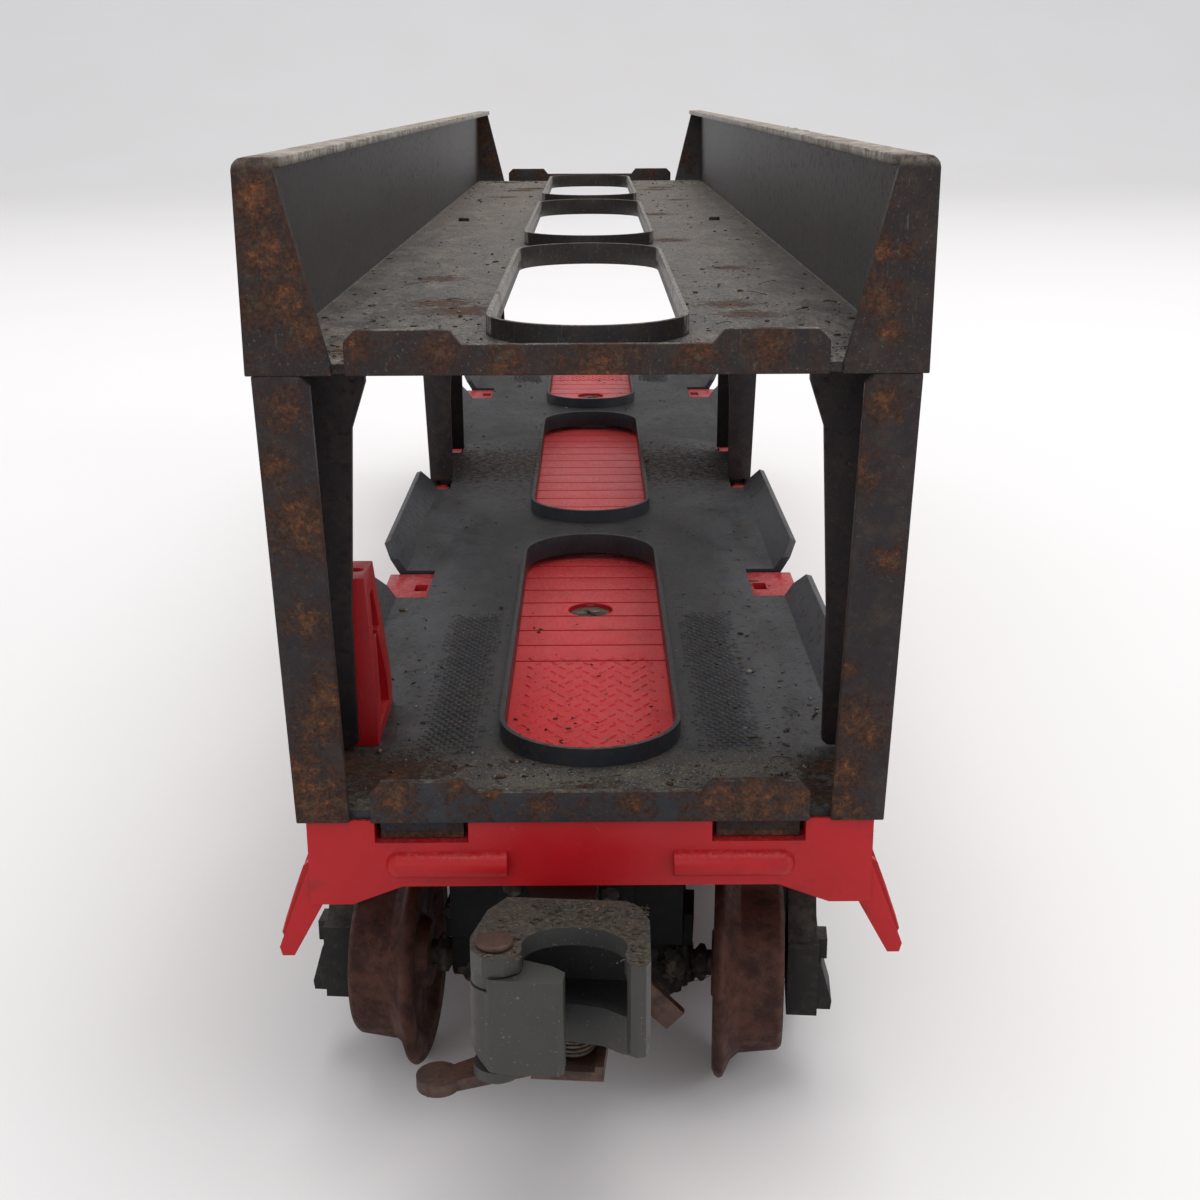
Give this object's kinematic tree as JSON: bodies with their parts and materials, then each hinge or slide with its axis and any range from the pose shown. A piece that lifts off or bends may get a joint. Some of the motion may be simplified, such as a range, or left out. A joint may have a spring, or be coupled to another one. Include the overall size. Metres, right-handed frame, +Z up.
{
  "type": "toy railway car transporter wagon",
  "caption": "Two-deck toy railway wagon for carrying model cars: red moulded flat body, pressed steel rack, swivelling bogies and hinged automatic couplers.",
  "frame": {"origin": "centre of the wagon at rail level, under the middle of the bounding box", "axes": "+Z up, Y along the wagon with the brake stand end at -Y, X across"},
  "size_m": [0.0518, 0.2908, 0.0807],
  "materials": {
    "red_plastic": "moulded red plastic, satin with scuffs",
    "lower_deck_paint": "worn blue-grey paint, dust and rust",
    "upper_deck_paint": "worn dark grey paint, dusty top edges, rust",
    "post_paint": "worn dark paint with rust blotches",
    "bare_steel": "dull rusted strip",
    "screw_steel": "dull grey steel",
    "rusty_steel": "brown rust",
    "spring_steel": "dull wire",
    "axle_steel": "dark oily steel",
    "wheel_metal": "brown rusted casting, treads rubbed",
    "bogie_plastic": "dark grey moulded plastic, dusty",
    "coupler_metal": "dull grey casting with dirt"
  },
  "bodies": {
    "wagon": {"car_body": "red_plastic", "centre_sill": "bare_steel", "body_screws": "screw_steel", "lower_deck": "lower_deck_paint", "upper_deck": "upper_deck_paint", "brake_stand": "red_plastic", "corner_post_front_left": "post_paint", "corner_post_front_right": "post_paint", "corner_post_rear_left": "post_paint", "corner_post_rear_right": "post_paint", "middle_post_left": "post_paint", "middle_post_right": "post_paint", "front_king_pin": "screw_steel", "rear_king_pin": "screw_steel"},
    "front_bogie": {"front_bolster": "bogie_plastic", "front_side_frame_a": "bogie_plastic", "front_side_frame_b": "bogie_plastic", "front_coupler": "coupler_metal", "front_knuckle_pin": "rusty_steel", "front_release_rivet": "rusty_steel", "front_release_spring": "spring_steel"},
    "front_outer_wheelset": {"front_outer_axle": "axle_steel", "front_outer_wheel_a": "wheel_metal", "front_outer_wheel_b": "wheel_metal"},
    "front_inner_wheelset": {"front_inner_axle": "axle_steel", "front_inner_wheel_a": "wheel_metal", "front_inner_wheel_b": "wheel_metal"},
    "front_knuckle_body": {"front_knuckle": "coupler_metal"},
    "front_release_body": {"front_release_plate": "rusty_steel"},
    "rear_bogie": {"rear_bolster": "bogie_plastic", "rear_side_frame_a": "bogie_plastic", "rear_side_frame_b": "bogie_plastic", "rear_coupler": "coupler_metal", "rear_knuckle_pin": "rusty_steel", "rear_release_rivet": "rusty_steel", "rear_release_spring": "spring_steel"},
    "rear_outer_wheelset": {"rear_outer_axle": "axle_steel", "rear_outer_wheel_a": "wheel_metal", "rear_outer_wheel_b": "wheel_metal"},
    "rear_inner_wheelset": {"rear_inner_axle": "axle_steel", "rear_inner_wheel_a": "wheel_metal", "rear_inner_wheel_b": "wheel_metal"},
    "rear_knuckle_body": {"rear_knuckle": "coupler_metal"},
    "rear_release_body": {"rear_release_plate": "rusty_steel"}
  },
  "joints": [
    {"name": "front_bogie_swivel", "type": "hinge", "parent": "wagon", "child": "front_bogie", "pos_m": [0, -0.0955, 0.02], "axis": [0, 0, 1], "range_deg": [-9, 19]},
    {"name": "front_outer_axle_spin", "type": "hinge", "parent": "front_bogie", "child": "front_outer_wheelset", "pos_m": [-0.00183, -0.11642, 0.01], "axis": [0.9962, -0.0872, 0], "continuous": true},
    {"name": "front_inner_axle_spin", "type": "hinge", "parent": "front_bogie", "child": "front_inner_wheelset", "pos_m": [0.00183, -0.07458, 0.01], "axis": [0.9962, -0.0872, 0], "continuous": true},
    {"name": "front_knuckle_swing", "type": "hinge", "parent": "front_bogie", "child": "front_knuckle_body", "pos_m": [-0.00698, -0.14207, 0.02], "axis": [0, 0, -1], "range_deg": [0, 60]},
    {"name": "front_release_lift", "type": "slide", "parent": "front_bogie", "child": "front_release_body", "axis": [0, 0, 1], "range_m": [0, 0.0012], "stiffness_N_per_m": 40, "springref_m": -0.001, "deforming": ["front_release_spring"]},
    {"name": "rear_bogie_swivel", "type": "hinge", "parent": "wagon", "child": "rear_bogie", "pos_m": [0, 0.0955, 0.02], "axis": [0, 0, 1], "range_deg": [-9, 19]},
    {"name": "rear_outer_axle_spin", "type": "hinge", "parent": "rear_bogie", "child": "rear_outer_wheelset", "pos_m": [0.00183, 0.11642, 0.01], "axis": [-0.9962, 0.0872, 0], "continuous": true},
    {"name": "rear_inner_axle_spin", "type": "hinge", "parent": "rear_bogie", "child": "rear_inner_wheelset", "pos_m": [-0.00183, 0.07458, 0.01], "axis": [-0.9962, 0.0872, 0], "continuous": true},
    {"name": "rear_knuckle_swing", "type": "hinge", "parent": "rear_bogie", "child": "rear_knuckle_body", "pos_m": [0.00698, 0.14207, 0.02], "axis": [0, 0, -1], "range_deg": [0, 60]},
    {"name": "rear_release_lift", "type": "slide", "parent": "rear_bogie", "child": "rear_release_body", "axis": [0, 0, 1], "range_m": [0, 0.0012], "stiffness_N_per_m": 40, "springref_m": -0.001, "deforming": ["rear_release_spring"]}
  ]
}
